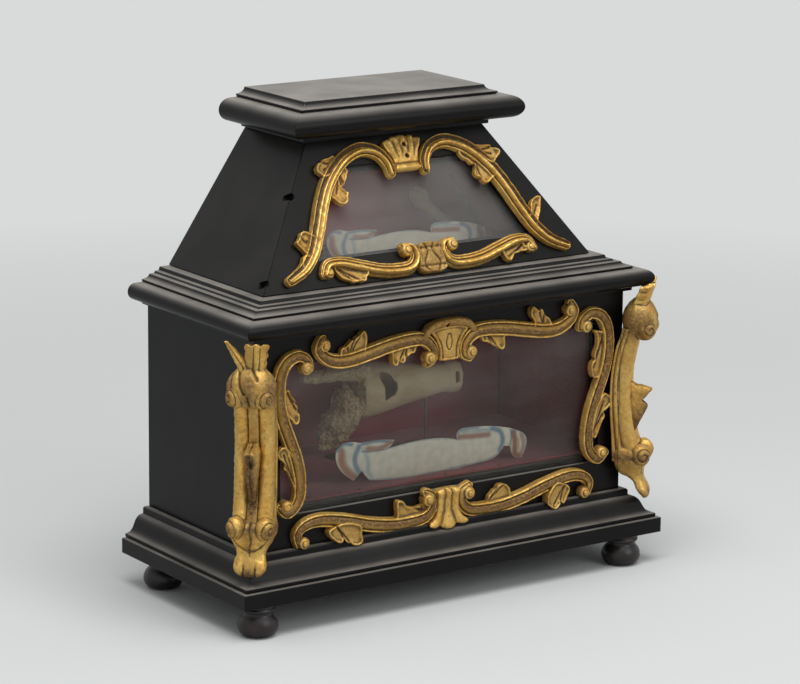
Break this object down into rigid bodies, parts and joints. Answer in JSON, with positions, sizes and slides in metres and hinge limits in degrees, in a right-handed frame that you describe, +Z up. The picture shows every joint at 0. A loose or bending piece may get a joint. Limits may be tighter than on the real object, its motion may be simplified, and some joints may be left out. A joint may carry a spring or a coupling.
{
  "type": "sarcophagus reliquary",
  "caption": "Ebonised casket on bun feet with glazed case and sloping glazed roof, gilt carved scroll frames and brackets, lined chambers and rear doors.",
  "frame": {"origin": "middle of the bounding box, on the plane that the feet stand on", "axes": "+X to the right of someone facing the glazed front, +Y towards the back, +Z up"},
  "size_m": [0.4364, 0.217, 0.4095],
  "materials": {
    "ebonised_wood": "satin black stain, worn",
    "turned_wood": "satin black stain",
    "inner_wood": "raw, aged",
    "gilded_wood": "worn water gilding",
    "window_glass": "old drawn glass",
    "brass": "dull",
    "lining_cloth": "plain weave",
    "bone": "dry bone",
    "paper_card": "painted card"
  },
  "bodies": {
    "casket": {"plinth_slab": "ebonised_wood", "base_moulding_front": "ebonised_wood", "base_moulding_left": "ebonised_wood", "base_moulding_right": "ebonised_wood", "case_front": "ebonised_wood", "case_side_left": "ebonised_wood", "case_side_right": "ebonised_wood", "case_top": "ebonised_wood", "lower_glazing_bead": "ebonised_wood", "cornice_front": "ebonised_wood", "cornice_left": "ebonised_wood", "cornice_right": "ebonised_wood", "cornice_back": "ebonised_wood", "roof_front": "ebonised_wood", "roof_side_left": "ebonised_wood", "roof_side_right": "ebonised_wood", "upper_glazing_bead": "ebonised_wood", "cap_core": "ebonised_wood", "cap_moulding_front": "ebonised_wood", "cap_moulding_left": "ebonised_wood", "cap_moulding_right": "ebonised_wood", "cap_lid": "ebonised_wood", "foot_front_left": "turned_wood", "foot_front_right": "turned_wood", "foot_back_left": "turned_wood", "foot_back_right": "turned_wood", "case_floor": "inner_wood", "lower_frame_crest": "gilded_wood", "lower_frame_apron": "gilded_wood", "lower_frame_scroll_left": "gilded_wood", "lower_frame_scroll_right": "gilded_wood", "upper_frame_scroll_left": "gilded_wood", "upper_frame_scroll_right": "gilded_wood", "upper_frame_shell": "gilded_wood", "upper_frame_apron": "gilded_wood", "corner_bracket_left": "gilded_wood", "corner_bracket_right": "gilded_wood", "lower_glass": "window_glass", "upper_glass": "window_glass", "lower_hinge_fixed_leaf": "brass", "upper_hinge_fixed_leaf": "brass", "lower_button_post": "brass", "upper_button_post": "brass", "relic_stand": "brass", "lower_lining": "lining_cloth", "upper_lining": "lining_cloth", "relic_bone": "bone", "upper_relic": "bone", "lower_label": "paper_card", "upper_label": "paper_card"},
    "lower_door": {"lower_door": "ebonised_wood", "lower_hinge_moving_leaf": "brass", "lower_door_lining": "lining_cloth", "lower_door_knob": "brass"},
    "upper_door": {"upper_door": "ebonised_wood", "upper_hinge_moving_leaf": "brass", "upper_door_lining": "lining_cloth"},
    "lower_button": {"lower_turn_button": "brass"},
    "upper_button": {"upper_turn_button": "brass"}
  },
  "joints": [
    {"name": "lower_door_hinge", "type": "hinge", "parent": "casket", "child": "lower_door", "pos_m": [-0.1712, 0.09671, 0.1377], "axis": [0, 0, 1], "range_deg": [0, 165]},
    {"name": "upper_door_hinge", "type": "hinge", "parent": "casket", "child": "upper_door", "pos_m": [0, 0.09671, 0.376], "axis": [1, 0, 0], "range_deg": [0, 110]},
    {"name": "lower_button_pivot", "type": "hinge", "parent": "casket", "child": "lower_button", "pos_m": [0.1775, 0.09571, 0.137], "axis": [0, -1, 0], "range_deg": [0, 90]},
    {"name": "upper_button_pivot", "type": "hinge", "parent": "casket", "child": "upper_button", "pos_m": [0, 0.09571, 0.2586], "axis": [0, -1, 0], "range_deg": [0, 90]}
  ]
}
